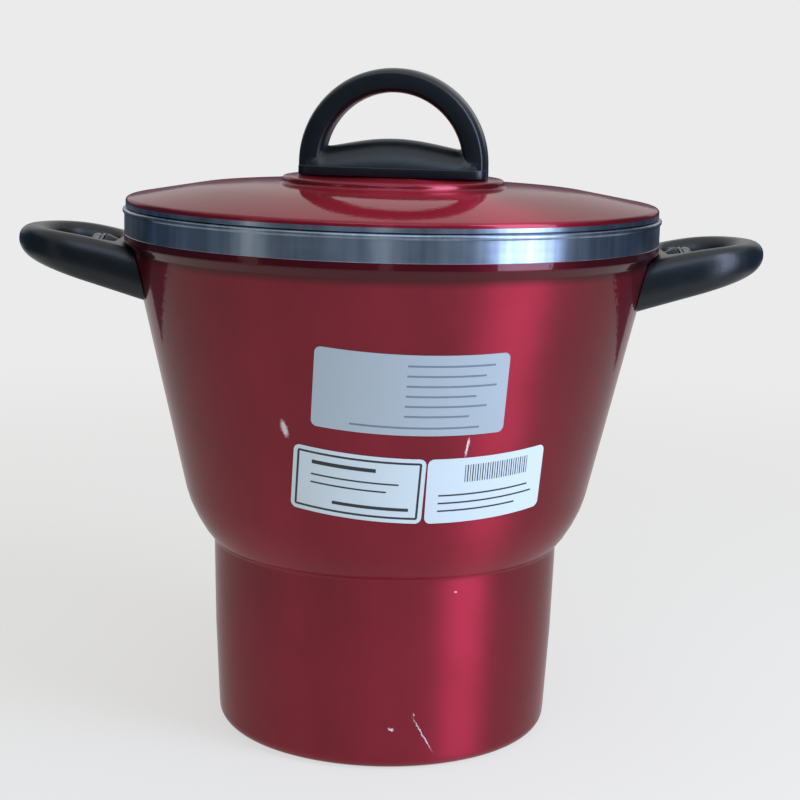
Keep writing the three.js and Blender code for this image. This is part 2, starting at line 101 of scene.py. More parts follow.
def scuffAndGlintMarks(tree, place, look):  # 1 inside a mark, which is a flat oval on the wall with a ragged edge; the marks are real scuffs and painted glints
    grit = addNode(tree, "ShaderNodeTexNoise", {"Vector": place, "Detail": 2,
                                                "Scale": 1 / (look["grit"] * mm)})
    ragged = addNode(tree, "ShaderNodeVectorMath",
                     {0: grit.outputs["Color"], 1: [look["ragged"] * mm] * 3, 2: place},
                     operation="MULTIPLY_ADD")
    nearest = None
    for paleMark in scuffsAndGlints:
        middle = around(paleMark["azimuth"], paleMark["radius"], paleMark["height"])
        halves = Vector((paleMark["wide"] / 2, look["markDepth"], paleMark["tall"] / 2))
        spin = (0, math.radians(paleMark["lean"]), math.radians(paleMark["azimuth"]))
        spot = addNode(tree, "ShaderNodeMapping",
                       {"Vector": ragged.outputs["Vector"], "Location": middle * mm, "Rotation": spin,
                        "Scale": halves * mm}, vector_type="TEXTURE")
        length = addNode(tree, "ShaderNodeVectorMath", {0: spot.outputs[0]}, operation="LENGTH")
        away = length.outputs["Value"]
        if nearest:
            away = addNode(tree, "ShaderNodeMath", {0: nearest, 1: away}, operation="MINIMUM").outputs[0]
        nearest = away
    scuffAndGlintMask = addNode(tree, "ShaderNodeMapRange", {"Value": nearest, "From Min": look["markCore"],
                                                   "From Max": look["markEdge"], "To Min": 1, "To Max": 0})
    return scuffAndGlintMask.outputs["Result"]


def redLacquer(look):  # candy red on spun aluminium: light stands in upright streaks under a thin gloss
    material, tree, shader = newMaterial("redLacquer")
    place = addNode(tree, "ShaderNodeTexCoord").outputs["Object"]
    cloud = addNode(tree, "ShaderNodeTexNoise", {"Vector": place, "Detail": 3,
                                                 "Scale": 1 / (look["cloud"] * mm)})
    clouded = addNode(tree, "ShaderNodeMix", {0: cloud.outputs["Fac"], 6: linear(look["deep"]),
                                              7: linear(look["light"])}, data_type="RGBA")
    height = addNode(tree, "ShaderNodeSeparateXYZ", {0: place}).outputs["Z"]
    # painted shade: the red is darkened in a strip round the cone under the band, where shade falls
    above = addNode(tree, "ShaderNodeMath", {0: height, 1: look["shadeHeight"] * mm}, operation="SUBTRACT")
    away = addNode(tree, "ShaderNodeMath", {0: above.outputs[0]}, operation="ABSOLUTE")
    shadeMask = addNode(tree, "ShaderNodeMapRange", {"Value": away.outputs[0], "From Min": look["shadeCore"] * mm,
                                                "From Max": look["shadeReach"] * mm,
                                                "To Min": look["shadeShare"], "To Max": 0})
    paintedShadeUnderBand = addNode(tree, "ShaderNodeMix", {0: shadeMask.outputs["Result"], 6: clouded.outputs[2],
                                             7: linear(look["paintedShadeUnderBand"])}, data_type="RGBA")  # under the band
    # real scuffs and painted glints: pale, less metallic spots on the paint
    scuffAndGlintMask = scuffAndGlintMarks(tree, place, look)
    withScuffsAndGlints = addNode(tree, "ShaderNodeMix", {0: scuffAndGlintMask, 6: paintedShadeUnderBand.outputs[2], 7: linear(look["bare"])},
                   data_type="RGBA")
    metal = addNode(tree, "ShaderNodeMapRange", {"Value": scuffAndGlintMask, "To Min": look["metal"],
                                                 "To Max": look["bareMetal"]})
    peel = addNode(tree, "ShaderNodeTexNoise", {"Vector": place, "Detail": 1,
                                                "Scale": 1 / (look["peel"] * mm)})
    wavy = addNode(tree, "ShaderNodeBump", {"Height": peel.outputs["Fac"], "Strength": look["peelStrength"],
                                            "Distance": look["peelHeight"] * mm})
    setInputs(tree, shader, {"Base Color": withScuffsAndGlints.outputs[2], "Metallic": metal.outputs["Result"],
                             "Roughness": look["roughness"], "Anisotropic": look["brushing"],
                             "Tangent": place, "Specular Tint": linear(look["edge"]),
                             "Coat Weight": look["coat"], "Coat Roughness": look["coatRoughness"],
                             "Coat Normal": wavy.outputs["Normal"]})
    return material


latheLook = dict(waves=20, wander=1.5, drawnOut=0.05, chatter=6, chatterLow=0.36, chatterHigh=0.64, stain=14,
                 smoother=0.75, rougher=1.35, ringStrength=0.08, ringHeight=0.2, brushing=0.85)


def turnedAluminium(name, colour, dull, roughness, pitch):  # bare metal off the lathe, with upright streaks
    look = latheLook
    material, tree, shader = newMaterial(name)
    place = addNode(tree, "ShaderNodeTexCoord").outputs["Object"]
    ringScale = 1 / (pitch * mm) / look["waves"]  # rings drawn coarser than real, so that they show
    rings = addNode(tree, "ShaderNodeTexWave", {"Vector": place, "Scale": ringScale, "Detail": 2,
                                                "Distortion": look["wander"]}, bands_direction="Z")
    drawn = addNode(tree, "ShaderNodeVectorMath", {0: place, 1: (1, 1, look["drawnOut"])},
                    operation="MULTIPLY")
    chatter = addNode(tree, "ShaderNodeTexNoise", {"Vector": drawn.outputs["Vector"], "Detail": 4,
                                                   "Scale": 1 / (look["chatter"] * mm)})
    share = addNode(tree, "ShaderNodeMapRange", {"Value": chatter.outputs["Fac"],
                                                 "From Min": look["chatterLow"],
                                                 "From Max": look["chatterHigh"]})
    tint = addNode(tree, "ShaderNodeMix", {0: share.outputs["Result"], 6: linear(dull), 7: linear(colour)},
                   data_type="RGBA")
    stain = addNode(tree, "ShaderNodeTexNoise", {"Vector": place, "Detail": 4,
                                                 "Scale": 1 / (look["stain"] * mm)})
    rough = addNode(tree, "ShaderNodeMapRange", {"Value": stain.outputs["Fac"],
                                                 "To Min": roughness * look["smoother"],
                                                 "To Max": roughness * look["rougher"]})
    bump = addNode(tree, "ShaderNodeBump", {"Height": rings.outputs["Fac"], "Strength": look["ringStrength"],
                                            "Distance": look["ringHeight"] * mm})
    setInputs(tree, shader, {"Base Color": tint.outputs[2], "Metallic": 1,
                             "Roughness": rough.outputs["Result"], "Anisotropic": look["brushing"],
                             "Tangent": place, "Normal": bump.outputs["Normal"]})
    return material


bakeliteLook = dict(colour="#0b1114", flow=7, smooth=0.27, dull=0.42, shine=0.38, grain=0.6,
                    grainStrength=0.12, grainHeight=0.3)


def blackBakelite(look):  # compression-moulded phenolic: blue-green black, satin skin with faint flow marks
    material, tree, shader = newMaterial("blackBakelite")
    place = addNode(tree, "ShaderNodeTexCoord").outputs["Object"]
    flow = addNode(tree, "ShaderNodeTexNoise", {"Vector": place, "Detail": 4,
                                                "Scale": 1 / (look["flow"] * mm)})
    rough = addNode(tree, "ShaderNodeMapRange", {"Value": flow.outputs["Fac"], "To Min": look["smooth"],
                                                 "To Max": look["dull"]})
    grainScale = 1 / (look["grain"] * mm)  # drawn coarser than real, so that it shows
    grain = addNode(tree, "ShaderNodeTexNoise", {"Vector": place, "Detail": 2, "Scale": grainScale})
    bump = addNode(tree, "ShaderNodeBump", {"Height": grain.outputs["Fac"],
                                            "Strength": look["grainStrength"],
                                            "Distance": look["grainHeight"] * mm})
    setInputs(tree, shader, {"Base Color": linear(look["colour"]), "Roughness": rough.outputs["Result"],
                             "Specular IOR Level": look["shine"], "Normal": bump.outputs["Normal"]})
    return material


plateLook = dict(cloud=2, smoother=0.8, rougher=1.3)


def platedMetal(name, colour, roughness):  # zinc plate or turned brass: soft cloudy gloss
    material, tree, shader = newMaterial(name)
    place = addNode(tree, "ShaderNodeTexCoord").outputs["Object"]
    cloud = addNode(tree, "ShaderNodeTexNoise", {"Vector": place, "Detail": 3,
                                                 "Scale": 1 / (plateLook["cloud"] * mm)})
    rough = addNode(tree, "ShaderNodeMapRange", {"Value": cloud.outputs["Fac"],
                                                 "To Min": roughness * plateLook["smoother"],
                                                 "To Max": roughness * plateLook["rougher"]})
    setInputs(tree, shader, {"Base Color": linear(colour), "Metallic": 1,
                             "Roughness": rough.outputs["Result"]})
    return material


filmLook = dict(crease=12, creaseStrength=0.15, creaseHeight=1)


def labelFilm(name, colour, metallic, roughness):  # printed film or foil, faintly creased
    material, tree, shader = newMaterial(name)
    place = addNode(tree, "ShaderNodeTexCoord").outputs["Object"]
    crease = addNode(tree, "ShaderNodeTexNoise", {"Vector": place, "Detail": 2,
                                                  "Scale": 1 / (filmLook["crease"] * mm)})
    bump = addNode(tree, "ShaderNodeBump", {"Height": crease.outputs["Fac"],
                                            "Strength": filmLook["creaseStrength"],
                                            "Distance": filmLook["creaseHeight"] * mm})
    setInputs(tree, shader, {"Base Color": linear(colour), "Metallic": metallic, "Roughness": roughness,
                             "Normal": bump.outputs["Normal"]})
    return material


redPaint = redLacquer(lacquerLook)
bandMetal = turnedAluminium("turnedAluminium", "#919daa", "#747f8b", 0.31, 0.5)
insideMetal = turnedAluminium("spunAluminium", "#b9bdc2", "#aeb2b7", 0.38, 0.9)
bakelite = blackBakelite(bakeliteLook)
zincPlate = platedMetal("zincPlatedSteel", "#6b7173", 0.3)
turnedBrass = platedMetal("turnedBrass", "#b08d4a", 0.35)
silverFoil = labelFilm("silverFoil", "#a9b6bf", 0.55, 0.4)
whiteFilm = labelFilm("whiteFilm", "#bfcbcd", 0, 0.4)
darkInk = labelFilm("darkInk", "#20262b", 0, 0.5)
greyInk = labelFilm("greyInk", "#66727f", 0, 0.5)
print("materials made:", len(bpy.data.materials))


# Mesh tools

def wire(points, closed=False):  # a chain of edges through a few points
    bm = bmesh.new()
    verts = [bm.verts.new(Vector(p) * mm) for p in points]
    for a, b in zip(verts, verts[1:] + verts[:1] if closed else verts[1:]):
        bm.edges.new((a, b))
    return bm, verts


def rectangle(left, right, low, high):
    return wire([(left, low, 0), (right, low, 0), (right, high, 0), (left, high, 0)], closed=True)


def roundCorner(bm, corner, radius, arcStep=7):  # arcStep is degrees of bend for each edge
    toward = [(edge.other_vert(corner).co - corner.co).normalized() for edge in corner.link_edges]
    inside = toward[0].angle(toward[1])
    count = max(2, round(math.degrees(math.pi - inside) / arcStep))
    bmesh.ops.bevel(bm, geom=[corner], offset=radius * mm / math.tan(inside / 2), offset_type="OFFSET",
                    segments=count, profile=0.5, affect="VERTICES", material=-1)


def closeUp(bm, weld=0.002):  # weld seams and poles, then point every face outwards
    bmesh.ops.remove_doubles(bm, verts=bm.verts, dist=weld * mm)
    bmesh.ops.recalc_face_normals(bm, faces=bm.faces)
    return bm


def turned(corners, steps=144, closed=False):  # corners are (radius, height, rounding) about the z axis
    bm, verts = wire([(r, 0, z) for r, z, rounding in corners], closed)
    for vert, (r, z, rounding) in zip(verts, corners):
        if rounding:
            roundCorner(bm, vert, rounding)
    bmesh.ops.spin(bm, geom=bm.verts[:] + bm.edges[:], cent=(0, 0, 0), axis=(0, 0, 1),
                   angle=2 * math.pi, steps=steps, use_merge=True)
    return closeUp(bm)


def rod(radius, low, high, bend=0, steps=48):
    return turned([(0, low, 0), (radius, low, bend), (radius, high, bend), (0, high, 0)], steps)


def insideOf(corners, wall, tightest=0.2):  # the same corners moved left by a wall, with their roundings
    moved = []
    last = len(corners) - 1
    for i, (r, z, rounding) in enumerate(corners):
        here = Vector((r, z))
        before = Vector(corners[max(i - 1, 0)][:2])
        after = Vector(corners[min(i + 1, last)][:2])
        arriving = (here - before).normalized() if i else (after - here).normalized()
        leaving = (after - here).normalized() if i < last else arriving
        share = wall / (1 + arriving.dot(leaving))
        leftward = arriving.x * leaving.y - arriving.y * leaving.x
        offset = Vector((-(arriving.y + leaving.y), arriving.x + leaving.x)) * share
        bend = max(rounding - wall * math.copysign(1, leftward), tightest) if rounding else 0
        moved.append((r + offset.x, z + offset.y, bend))
    return moved


def meshOf(bm, name):
    mesh = bpy.data.meshes.new(name)
    bm.to_mesh(mesh)
    bm.free()
    return mesh


def newObject(name, data):
    item = bpy.data.objects.new(name, data)
    scene.collection.objects.link(item)
    return item


def combine(bm, tool, operation):  # joins or cuts two closed meshes
    pair = [newObject(name, meshOf(item, name)) for name, item in (("blank", bm), ("tool", tool))]
    cut = pair[0].modifiers.new("cut", "BOOLEAN")
    cut.object = pair[1]
    cut.operation = operation
    cut.solver = "EXACT"
    result = bmesh.new()
    result.from_mesh(pair[0].evaluated_get(bpy.context.evaluated_depsgraph_get()).to_mesh())
    for item in pair:
        mesh = item.data
        bpy.data.objects.remove(item)
        bpy.data.meshes.remove(mesh)
    return result


def turn(bm, degrees, axis):
    rotation = Matrix.Rotation(math.radians(degrees), 3, axis)
    bmesh.ops.rotate(bm, cent=(0, 0, 0), matrix=rotation, verts=bm.verts)
    return bm


def shift(bm, x=0, y=0, z=0):
    bmesh.ops.translate(bm, vec=Vector((x, y, z)) * mm, verts=bm.verts)
    return bm


def allOf(bm):
    return bm.verts[:] + bm.edges[:] + bm.faces[:]


def only(geom, kind):
    return [item for item in geom if isinstance(item, kind)]


def raiseBy(bm, verts, distance):
    bmesh.ops.translate(bm, vec=(0, 0, distance * mm), verts=verts)


def sliceUp(bm, start, end, step, axis=0):  # new edges across an axis at every step
    place, normal = [0, 0, 0], [0, 0, 0]
    normal[axis] = 1
    while start < end:
        place[axis] = start * mm
        bmesh.ops.bisect_plane(bm, geom=allOf(bm), plane_co=place, plane_no=normal)
        start += step


def fillHoles(bm):
    bmesh.ops.holes_fill(bm, edges=[edge for edge in bm.edges if edge.is_boundary])


def staple(bm, rise, steps):  # a flat closed section swept up, half round the y axis and down again
    def lift(edges, distance):
        new = bmesh.ops.extrude_edge_only(bm, edges=edges)["geom"]
        raiseBy(bm, only(new, bmesh.types.BMVert), distance)
        return [item for item in new if not isinstance(item, bmesh.types.BMFace)]
    foot = bm.verts[:][0].co.z
    arrived = lift(bm.edges[:], rise)
    arrived = bmesh.ops.spin(bm, geom=arrived, cent=(0, 0, foot + rise * mm), axis=(0, -1, 0), angle=math.pi,
                             steps=steps)["geom_last"]
    lift(only(arrived, bmesh.types.BMEdge), -rise)
    fillHoles(bm)
    return closeUp(bm)


def finishPiece(bm, name, body, materials, replaced=(), sharp=32):  # a shown piece on its body
    mesh = meshOf(bm, name)
    mesh.shade_smooth()
    mesh.set_sharp_from_angle(angle=math.radians(sharp))
    for material in materials:
        mesh.materials.append(material)
    piece = newObject(name, mesh)
    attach(piece, body)
    if replaced:
        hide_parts(*replaced)
    print("piece", name, len(mesh.polygons), "faces")


# Pot: one drawn shell, painted outside up to the turned band

boxGap = 0.01  # keeps the tallest and widest edges just inside the frame's own box
pot = dict(wall=1.5, footRadius=62.2, footCorner=5, bellyRadius=64.7, bellyHeight=37.5, bellyBend=960,
           creaseRadius=64.9, creaseHeight=70.8, creaseBend=2, shoulderRadius=73.18, shoulderHeight=79.66,
           shoulderBend=42, coneRadius=95.75, coneHeight=179.5, ledgeBend=1.2, bandRadius=98.5,
           bandBottom=182.4, paintTop=185.1, bandCut=0.12, bandTop=192.8, bandBend=1.2, paintFoot=0.9,
           lipRoot=0.25, lipSlack=0.02, lipInside=0.3, upward=0.5)
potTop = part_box("pot_shell")[1] / mm
conePitch = math.atan2(pot["coneRadius"] - pot["shoulderRadius"], pot["coneHeight"] - pot["shoulderHeight"])
potLine = [(0, 0, 0), (pot["footRadius"], 0, pot["footCorner"]),
           (pot["bellyRadius"], pot["bellyHeight"], pot["bellyBend"]),
           (pot["creaseRadius"], pot["creaseHeight"], pot["creaseBend"]),
           (pot["shoulderRadius"], pot["shoulderHeight"], pot["shoulderBend"]),
           (pot["coneRadius"], pot["coneHeight"], pot["ledgeBend"]),
           (pot["bandRadius"], pot["bandBottom"], pot["bandBend"]), (pot["bandRadius"], pot["bandTop"], 0)]


def coneAt(height):  # outer radius of the cone
    return pot["coneRadius"] - (pot["coneHeight"] - height) * math.tan(conePitch)


def potShell():
    lipTop, lipRadius = potTop.z - boxGap, potTop.y - boxGap
    lipBend = (lipTop - pot["bandTop"]) / 2 - pot["lipSlack"]
    band = pot["bandRadius"] - pot["bandCut"]
    rim = [(pot["bandRadius"], pot["paintTop"], 0), (band, pot["paintTop"] + pot["bandCut"], 0),
           (band, pot["bandTop"], pot["lipRoot"]), (lipRadius, pot["bandTop"], lipBend),
           (lipRadius, lipTop, lipBend), (pot["bandRadius"] - pot["wall"], lipTop, pot["lipInside"])]
    inside = insideOf(potLine, pot["wall"])[-2::-1]
    bm = turned(potLine[:-1] + rim + inside)
    for face in bm.faces:
        middle = face.calc_center_median()
        outward = face.normal.x * middle.x + face.normal.y * middle.y > 0
        if middle.z / mm > pot["paintTop"] and (outward or face.normal.z > pot["upward"]):
            face.material_index = 1
        elif not outward or middle.z / mm < pot["paintFoot"]:
            face.material_index = 2
    finishPiece(bm, "pot_body", "pot", [redPaint, bandMetal, insideMetal],
                ["pot_shell"])


potShell()

# Lid: a shallow painted dome over a steep edge, bare below the edge and inside

lid = dict(turn=-8, sheet=1.2, holeRadius=2.8, plateauRadius=41, plateauBend=1.3, domeTop=204.1,
           domeCorner=73.61, domeBend=189.3, edgeRadius=97.9, edgeTop=197.94, edgeBend=1.3, paintFoot=196.4,
           flangeUnder=194.7, flangeBend=0.4, skirtOuter=96.3, skirtFoot=186.7, skirtRoot=0.3, skirtBend=0.4,
           skirtTopBend=0.8, upward=0.05, rimReach=0.5)
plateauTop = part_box("lid_shell")[1].z / mm


def lidShell():
    upper = [(lid["holeRadius"], plateauTop, 0), (lid["plateauRadius"], plateauTop, lid["plateauBend"]),
             (lid["plateauRadius"], lid["domeTop"], lid["plateauBend"]),
             (lid["domeCorner"], lid["domeTop"], lid["domeBend"]), (lid["edgeRadius"], lid["edgeTop"], 0)]
    skirtInner = lid["skirtOuter"] - lid["sheet"]
    under = insideOf(upper[::-1], lid["sheet"])
    slope = (lid["domeTop"] - lid["edgeTop"]) / (lid["edgeRadius"] - lid["domeCorner"])
    skirtTop = under[0][1] + (under[0][0] - skirtInner) * slope
    rim = [(lid["edgeRadius"], lid["edgeTop"], lid["edgeBend"]), (lid["edgeRadius"], lid["paintFoot"], 0),
           (lid["edgeRadius"], lid["flangeUnder"], lid["flangeBend"]),
           (lid["skirtOuter"], lid["flangeUnder"], lid["skirtRoot"]),
           (lid["skirtOuter"], lid["skirtFoot"], lid["skirtBend"]),
           (skirtInner, lid["skirtFoot"], lid["skirtBend"]), (skirtInner, skirtTop, lid["skirtTopBend"])]
    bm = turned(upper[:-1] + rim + under[1:], closed=True)
    rimFrom = lid["skirtOuter"] + lid["rimReach"]
    for face in bm.faces:
        middle = face.calc_center_median()
        outward = face.normal.z > lid["upward"] or math.hypot(middle.x, middle.y) / mm > rimFrom
        face.material_index = 0 if outward and middle.z / mm > lid["paintFoot"] else 1
    finishPiece(bm, "lid_dome", "lid", [redPaint, bandMetal], ["lid_shell"])


lidShell()

# Knob: an arch with crowned edges on a squared oval foot, whose mound rises between the legs

knob = dict(half=34.8, bar=8.8, depth=16, edge=2, edgeDepth=5, edgeStep=10, footDepth=21, footSide=3.5,
            footLedge=0.5, footEdge=0.4, footEdgeSteps=3, rimAngle=1, squareness=6, moundHeight=13.7,
            moundEnd=10.3, moundRound=0.999, swell=1.5, fillet=1.8, pocketRadius=4.8, pocketHeight=9.6,
            pocketFoot=-1, archSteps=64, ovalSteps=120, slice=1.5, atFoot=0.001, least=1e-9)
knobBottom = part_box("lid_knob")[0].z / mm
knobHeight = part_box("lid_knob")[1].z / mm - knobBottom - boxGap


def archBar():
    stretch = knob["edgeDepth"] / knob["edge"]  # drawn shallow with round edges, then deepened
    side = knob["depth"] / 2 / stretch
    bm, verts = rectangle(knob["half"] - knob["bar"], knob["half"], -side, side)
    for vert in verts:
        roundCorner(bm, vert, knob["edge"], knob["edgeStep"])
    bmesh.ops.scale(bm, vec=(1, stretch, 1), verts=bm.verts)
    return staple(bm, knobHeight - knob["half"], knob["archSteps"])


def ridgeAt(x):  # the mound's crest dips to each leg and turns up into it
    reach = knob["half"] - knob["bar"]
    share = min(abs(x) / reach, 1)
    into = min(max((abs(x) - reach) / knob["fillet"] + 1, 0), 1)
    crest = knob["moundEnd"] + (knob["moundHeight"] - knob["moundEnd"]) * (1 - share ** 2) ** knob["swell"]
    return crest + knob["fillet"] * (1 - math.sqrt(1 - into ** 2))


def squareOff(bm, half, deep):  # a round piece of radius 1 mm made a squared oval in plan
    power = knob["squareness"]
    for vert in bm.verts:
        x, y = vert.co.x / mm, vert.co.y / mm
        squared = (abs(x) ** power + abs(y) ** power) ** (1 / power)
        stretch = math.hypot(x, y) / squared if squared else 1
        vert.co.x = x * stretch * half * mm
        vert.co.y = y * stretch * deep * mm
    return bm


def knobFoot():
    blank = rod(1, 0, knob["footSide"], steps=knob["ovalSteps"])
    plinth = squareOff(blank, knob["half"], knob["footDepth"] / 2)
    rim = [edge for edge in plinth.edges if edge.calc_face_angle(0) > knob["rimAngle"]]
    bmesh.ops.bevel(plinth, geom=rim, offset=knob["footEdge"] * mm, segments=knob["footEdgeSteps"],
                    profile=0.5, affect="EDGES", material=-1)
    return plinth


def knobMound():
    half, deep = knob["half"] - knob["footLedge"], knob["footDepth"] / 2 - knob["footLedge"]
    power = knob["squareness"]
    blank = turned([(0, 0, 0), (1, 0, 0), (1, 1, knob["moundRound"]), (0, 1, 0)], knob["ovalSteps"])
    mound = squareOff(blank, half, deep)
    sliceUp(mound, -half, half, knob["slice"])
    for vert in mound.verts:  # each cross-section is half an oval, as high as the ridge
        x, y = vert.co.x / mm, vert.co.y / mm
        edge = max(1 - abs(x / half) ** power, knob["least"]) ** (1 / power)
        if vert.co.z > knob["atFoot"] * mm:
            vert.co.z = ridgeAt(x) * math.sqrt(max(1 - (y / deep / edge) ** 2, 0)) * mm
    return closeUp(mound)


def lidKnob():
    bm = combine(combine(archBar(), knobFoot(), "UNION"), knobMound(), "UNION")
    bm = combine(bm, rod(knob["pocketRadius"], knob["pocketFoot"], knob["pocketHeight"]), "DIFFERENCE")
    turn(shift(bm, z=knobBottom), lid["turn"], "Z")
    finishPiece(bm, "knob_moulding", "lid", [bakelite], ["lid_knob"])


lidKnob()

# Handles: a moulded loop on each side, held by a screw through its root

handle = dict(bracketDrop=7.5, rootBar=9.7, rootOverlap=2, holeLength=23, holeEnd=13, holeCorner=5,
              holeCornerStep=8, tipBar=11.1, tipStep=4, tipSlack=0.01, tipWeld=0.05, sideBar=11, half=27.8,
              end=27.2, rise=7, crownSetback=2.8, crownRadius=135, rootDrop=16.9, undersideRise=16.9,
              edgeRound=4.4, edgeShare=0.46, edgeSteps=7, slice=2.5, mirrorWeld=0.001, wallGap=0.3,
              postDrop=1, postTilt=26, seatRadius=6, seatLength=16, seatBend=0.8, boreRadius=2.3,
              boreOverrun=1, pocketHalf=17.8, pocketTall=12.6, pocketDepth=5.3, wallSteps=192)
bracketHeight = pot["coneHeight"] - handle["bracketDrop"]
postHeight = bracketHeight - handle["postDrop"]
holeRoot = coneAt(bracketHeight) + handle["rootBar"]
holeTip = holeRoot + handle["holeLength"]
handleTip = holeTip + handle["tipBar"]
rootBottom = pot["coneHeight"] - handle["rootDrop"]


def handleTopAt(x):
    setback = x - handleTip + handle["crownSetback"]
    return pot["coneHeight"] + handle["rise"] - setback ** 2 / (2 * handle["crownRadius"])


def handleBottomAt(x):
    return rootBottom + (x - coneAt(rootBottom)) * math.tan(math.radians(handle["undersideRise"]))


def alongPost(bm):  # a piece made up the z axis, laid along the post's tilted axis
    return shift(turn(bm, 90 - handle["postTilt"], "Y"), coneAt(postHeight), 0, postHeight)


def loopOutline(near, far, half, end, corner):  # square at the wall, half an oval at the tip
    bm, verts = rectangle(near, far, -end, end)
    for vert in verts[1:3]:
        roundCorner(bm, vert, end - handle["tipSlack"], handle["tipStep"])
    bmesh.ops.remove_doubles(bm, verts=bm.verts, dist=handle["tipWeld"] * mm)
    bmesh.ops.scale(bm, vec=(1, half / end, 1), verts=bm.verts)
    for vert in (verts[0], verts[3]) if corner else ():
        roundCorner(bm, vert, corner, handle["holeCornerStep"])
    return bm


def handleLoop():
    depth = handle["edgeRound"] / handle["edgeShare"]
    root = coneAt(rootBottom) - handle["rootOverlap"] * handle["edgeRound"]
    bm = loopOutline(root, handleTip, handle["half"], handle["end"], 0)
    holeHalf = handle["half"] - handle["sideBar"]
    hole = meshOf(loopOutline(holeRoot, holeTip, holeHalf, handle["holeEnd"], handle["holeCorner"]), "hole")
    bm.from_mesh(hole)
    bpy.data.meshes.remove(hole)
    bmesh.ops.triangle_fill(bm, edges=bm.edges[:], use_beauty=True, normal=(0, 0, 1))
    cap = bm.faces[:]
    raised = bmesh.ops.extrude_face_region(bm, geom=cap)["geom"]
    raiseBy(bm, only(raised, bmesh.types.BMVert), depth / 2 - handle["edgeRound"])
    bmesh.ops.delete(bm, geom=[face for face in cap if face.is_valid], context="FACES_ONLY")
    top = only(raised, bmesh.types.BMFace)
    for i in range(handle["edgeSteps"]):  # a quarter round, one inset for each step
        a, b = (math.pi / 2 * k / handle["edgeSteps"] for k in (i, i + 1))
        bmesh.ops.inset_region(bm, faces=top, use_boundary=True, use_even_offset=True,
                               thickness=handle["edgeRound"] * (math.cos(a) - math.cos(b)) * mm)
        raiseBy(bm, list({vert for face in top for vert in face.verts}),
                handle["edgeRound"] * (math.sin(b) - math.sin(a)))
    bmesh.ops.mirror(bm, geom=allOf(bm), axis="Z", merge_dist=handle["mirrorWeld"] * mm)
    closeUp(bm)
    sliceUp(bm, root, handleTip, handle["slice"])
    for vert in bm.verts:
        x, share = vert.co.x / mm, vert.co.z / mm / depth + 0.5
        vert.co.z = (handleBottomAt(x) + (handleTopAt(x) - handleBottomAt(x)) * share) * mm
    return closeUp(bm)


def bracketPocket():  # a slab of the cone's own curve, as wide and tall as the bracket with its clearance
    low, high = (bracketHeight + side * handle["pocketTall"] / 2 for side in (-1, 1))
    deep = handle["pocketDepth"]
    bm = turned([(0, low, 0), (coneAt(low) + deep, low, 0), (coneAt(high) + deep, high, 0), (0, high, 0)],
                handle["wallSteps"])
    half = handle["pocketHalf"]
    for place, normal in (((0, half, 0), (0, 1, 0)), ((0, -half, 0), (0, -1, 0)), ((0, 0, 0), (-1, 0, 0))):
        bmesh.ops.bisect_plane(bm, geom=allOf(bm), plane_co=Vector(place) * mm, plane_no=normal,
                               clear_outer=True)
        fillHoles(bm)
    return closeUp(bm)


def handles():
    seat = rod(handle["seatRadius"], 0, handle["seatLength"], handle["seatBend"])
    bm = combine(handleLoop(), alongPost(seat), "UNION")
    wall = turned(insideOf(potLine, -handle["wallGap"]) + [(0, pot["bandTop"], 0)], handle["wallSteps"])
    bm = combine(bm, wall, "DIFFERENCE")
    bm = combine(bm, bracketPocket(), "DIFFERENCE")
    bore = rod(handle["boreRadius"], 0, handle["seatLength"] + handle["boreOverrun"])
    bm = combine(bm, alongPost(bore), "DIFFERENCE")
    other = turn(bm.copy(), 180, "Z")
    for side, loop in (("right", bm), ("left", other)):
        finishPiece(loop, "handle_loop_" + side, "pot", [bakelite], ["handle_" + side])


handles()

# Screws, washers and rivets

fixing = dict(gap=0.3, washer=1, washerRadius=5.4, screwRadius=2, screwHead=4.6, headHeight=2.8, grip=3,
              tipBend=0.4, underBend=0.2, domeShare=0.7, slotWidth=1.2, slotDepth=1.1, slotReach=3,
              knobScrewRadius=2.5, knobScrewHead=4.8, knobHeadHeight=3, knobWasherRadius=7, boreBend=0.15,
              rimBend=0.2, rivetRadius=2.4, rivetHead=4.6, rivetHeight=1.9, rivetBend=1.6, rivetUnder=0.1,
              rivetSpread=11, plateFace=2.6, steps=48)


def slottedScrew(radius, head, tip, under, height):
    top = under + height
    bm = turned([(0, tip, 0), (radius, tip, fixing["tipBend"]), (radius, under, 0),
                 (head, under, fixing["underBend"]), (head, top, height * fixing["domeShare"]), (0, top, 0)],
                fixing["steps"])
    slot = bmesh.new()
    bmesh.ops.create_cube(slot, size=mm)
    slotSize = (fixing["slotReach"] * head, fixing["slotWidth"], 2 * fixing["slotDepth"])
    bmesh.ops.scale(slot, vec=slotSize, verts=slot.verts)
    return combine(bm, shift(slot, z=top), "DIFFERENCE")


def ring(inner, outer, low, high):
    return turned([(inner, low, fixing["boreBend"]), (outer, low, fixing["rimBend"]),
                   (outer, high, fixing["rimBend"]), (inner, high, fixing["boreBend"])], fixing["steps"],
                  closed=True)


def rivetLine():  # up the rivet's axis: a head inside the pot, the shank, a head on the bracket
    inner, outer = -pot["wall"] - fixing["gap"], fixing["plateFace"]
    head, shank = fixing["rivetHead"], fixing["rivetRadius"]
    low, high = inner - fixing["rivetHeight"], outer + fixing["rivetHeight"]
    return [(0, low, 0), (head, low, fixing["rivetBend"]), (head, inner, fixing["rivetUnder"]),
            (shank, inner, 0), (shank, outer, 0), (head, outer, fixing["rivetUnder"]),
            (head, high, fixing["rivetBend"]), (0, high, 0)]


